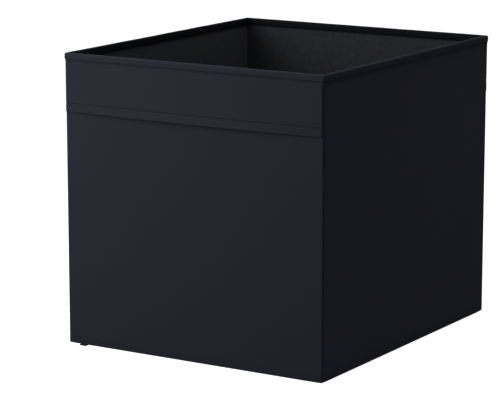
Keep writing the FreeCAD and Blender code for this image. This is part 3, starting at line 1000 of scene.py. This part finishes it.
for side, out in sides.items():
    for end, way in ends.items():
        node = f"{side}_{end}_lip"
        low, high = nodeBox(node)
        foot, tip = outward(low.x, high.x, out)
        top = low.z + lipSpec["cloth"]
        first, last = sorted(way * place for place in lipSpec["footEnds"])
        bm = newBox((low.x, first, top - touch), (high.x, last, top))
        for axis, sign in (("z", -1), ("x", 1), ("x", -1), ("y", 1), ("y", -1)):
            dropFaces(bm, axis, sign)
        raised = bmesh.ops.extrude_edge_only(bm, edges=edgesAt(bm, x=foot))["geom"]
        legVerts = [item for item in raised if isinstance(item, bmesh.types.BMVert)]
        bmesh.ops.translate(bm, vec=(0, 0, high.z - top), verts=legVerts)
        roundEdges(bm, edgesAt(bm, x=foot, z=top), lipSpec["fold"])
        cutAt(bm, "x", steps(low.x, high.x, lipSpec["pitch"]))
        cutAt(bm, "y", [way * place for place in steps(*lipSpec["footEnds"], lipSpec["longPitch"])])
        taperLip(bm, tip, foot, way)
        flap = [face for face in bm.faces if abs(face.normal.z) > 0.9]
        if flap and flap[0].normal.z < 0:
            bmesh.ops.reverse_faces(bm, faces=bm.faces[:])
        lip = makePiece(node, bm, liningCloth, lipSpec["cloth"])
        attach(lip, f"{side}_{end}_half")
        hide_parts(node)

tapeSpec = {"corner": 2.0, "edge": 0.15, "pitch": 6, "margin": 3}


def tapePiece(node, body, material):
    low, high = nodeBox(node)
    bm = newBox(low, high)
    roundEdges(bm, edgesAlong(bm, 2), tapeSpec["corner"])
    roundEdges(bm, sharpEdges(bm, edgeSpec["rim"]), tapeSpec["edge"], 1)
    cutAt(bm, "y", steps(low.y, high.y, tapeSpec["pitch"], tapeSpec["margin"]))
    tape = makePiece(node, bm, material)
    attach(tape, body)
    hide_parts(node)


for side in sides:
    for end in ends:
        tapePiece(f"bottom_{end}_{side}_hook_tape", "bottom_" + end, hookTape)
        tapePiece(f"{side}_{end}_loop_tape", f"{side}_{end}_half", loopTape)


# End of the seam tape that lies out below the front

tabSpec = {"pitch": 1.2, "corner": 1.0}

low, high = nodeBox("seam_tab")
bm = newBox(low, high)
cutAt(bm, "x", steps(low.x, high.x, tabSpec["pitch"]))
cutAt(bm, "y", steps(low.y, high.y, tabSpec["pitch"]))
roundEdges(bm, edgesAt(bm, x=low.x, y=low.y) + edgesAt(bm, x=high.x, y=low.y), tabSpec["corner"])
tab = makePiece("seamTab", bm, innerTape, slotName="binding_tape")
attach(tab, "front_wall")
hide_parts("seam_tab")
print("bottom, flaps and tapes ready")


# Stage, light and camera

stageSpec = {"floorSize": 40, "floorCells": 4, "floorColour": (0.86, 0.86, 0.86), "floorGlow": 0.84,
             "floorBounce": (0.3, 0.3, 0.3), "seenWhite": 1.0, "skyLight": 0.24,
             "skyColour": (1.0, 1.03, 1.09)}
lightSpec = {
    "key": {"place": (-0.85, -0.85, 0.72), "size": 1.15, "watts": 13.4},
    "overhead": {"place": (0.2, 0.1, 2.0), "size": 0.5, "watts": 6.8},
}
lightAim = (0, 0, 0.16)
cameraSpec = {"place": (1.3805, -2.2905, 0.6829), "pitch": 90 - 11.314, "turn": 31.857, "lens": 170.8,
              "clip": 100}
white = (1, 1, 1, 1)


def seenOrNot(tree, lighting, seen, outputKind):
    # the camera sees the second shader, and the light takes the first
    path = addNode(tree, "ShaderNodeLightPath")
    both = addNode(tree, "ShaderNodeMixShader",
                   {0: path.outputs["Is Camera Ray"], 1: lighting.outputs[0], 2: seen.outputs[0]})
    addNode(tree, outputKind, {"Surface": both.outputs[0]})


bm = bmesh.new()
cellCount = stageSpec["floorCells"]
bmesh.ops.create_grid(bm, x_segments=cellCount, y_segments=cellCount, size=stageSpec["floorSize"] / 2)
floorMesh = bpy.data.meshes.new("floor")
bm.to_mesh(floorMesh)
bm.free()
floor = addObject("floor", floorMesh)
floorPaint = bpy.data.materials.new("paleFloor")
tree = clearTree(floorPaint)
matt = addNode(tree, "ShaderNodeBsdfDiffuse", {"Color": (*stageSpec["floorColour"], 1)})
glow = addNode(tree, "ShaderNodeEmission", {"Color": white, "Strength": stageSpec["floorGlow"]})
seen = addNode(tree, "ShaderNodeAddShader", {0: matt.outputs[0], 1: glow.outputs[0]})
dim = addNode(tree, "ShaderNodeBsdfDiffuse", {"Color": (*stageSpec["floorBounce"], 1)})
seenOrNot(tree, dim, seen, "ShaderNodeOutputMaterial")
floorMesh.materials.append(floorPaint)

world = bpy.data.worlds.new("studio")
scene.world = world
tree = clearTree(world)
seenSky = addNode(tree, "ShaderNodeBackground", {"Color": white, "Strength": stageSpec["seenWhite"]})
softSky = addNode(tree, "ShaderNodeBackground",
                  {"Color": (*stageSpec["skyColour"], 1), "Strength": stageSpec["skyLight"]})
seenOrNot(tree, softSky, seenSky, "ShaderNodeOutputWorld")

for name, values in lightSpec.items():
    lamp = bpy.data.lights.new(name, "AREA")
    lamp.size = values["size"]
    lamp.energy = values["watts"]
    lampObject = addObject(name, lamp)
    lampObject.location = values["place"]
    aim = Vector(lightAim) - Vector(values["place"])
    lampObject.rotation_euler = aim.to_track_quat("-Z", "Y").to_euler()

lens = bpy.data.cameras.new("camera")
lens.lens = cameraSpec["lens"]
lens.clip_end = cameraSpec["clip"]
camera = addObject("camera", lens)
camera.location = cameraSpec["place"]
camera.rotation_euler = (math.radians(cameraSpec["pitch"]), 0, math.radians(cameraSpec["turn"]))
scene.camera = camera
scene.view_settings.view_transform = "Standard"
scene.view_settings.look = "None"
print("stage ready")
